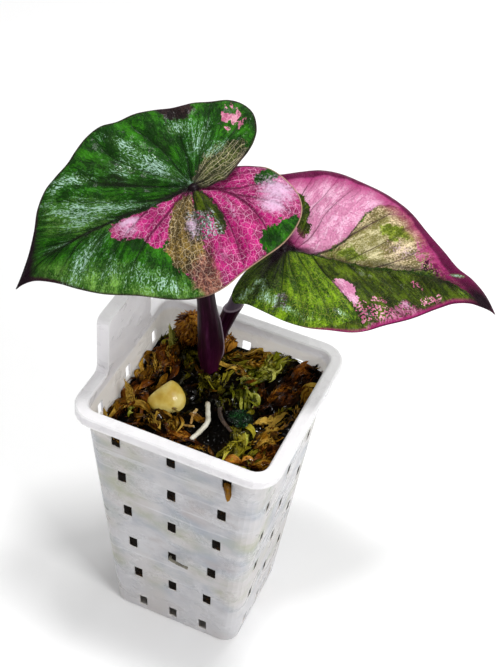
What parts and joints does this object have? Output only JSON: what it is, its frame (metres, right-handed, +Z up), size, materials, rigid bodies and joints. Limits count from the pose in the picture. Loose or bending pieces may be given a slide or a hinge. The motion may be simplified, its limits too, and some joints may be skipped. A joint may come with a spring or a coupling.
{
  "type": "potted aroid house plant",
  "caption": "Young variegated alocasia with broad arrow-shaped leaves on purple stalks, growing from moss in a square slotted basket with a label tab.",
  "frame": {"origin": "centre of the basket's flat underside", "axes": "+Z up, +X to the right along the front face, +Y to the back; the label tab is on the left side of the rim"},
  "size_m": [0.139, 0.0957, 0.1979],
  "materials": {
    "basket_plastic": "white translucent injection-moulded polypropylene, softly glossy",
    "sphagnum": "wet brown and olive sphagnum strands",
    "green_cushion": "wet dark green cushion",
    "corm": "smooth waxy cream skin",
    "brown_root": "matt brown root bark",
    "white_root": "fresh pale root skin",
    "stalk": "dark purple waxy leaf stalk",
    "blade_left": "glossy leaf, green with magenta and olive sectors",
    "blade_right": "glossy leaf, pink, cream and green sectors"
  },
  "bodies": {
    "root": {"basket": "basket_plastic", "moss_bed": "sphagnum", "moss_lump_back": "sphagnum", "moss_tuft_left_front": "sphagnum", "moss_tuft_left": "sphagnum", "moss_tuft_back": "sphagnum", "slot_moss_strip": "sphagnum", "algae_cushion": "green_cushion", "pale_corm": "corm", "stem_base": "brown_root", "root_deep_left": "brown_root", "root_deep_right": "brown_root", "root_deep_back": "brown_root", "root_slot": "brown_root", "root_brown": "brown_root", "root_white": "white_root", "rootlet_tan_a": "white_root", "rootlet_tan_b": "white_root", "petiole_left": "stalk", "petiole_right": "stalk", "blade_left": "blade_left", "blade_right": "blade_right"}
  },
  "joints": []
}
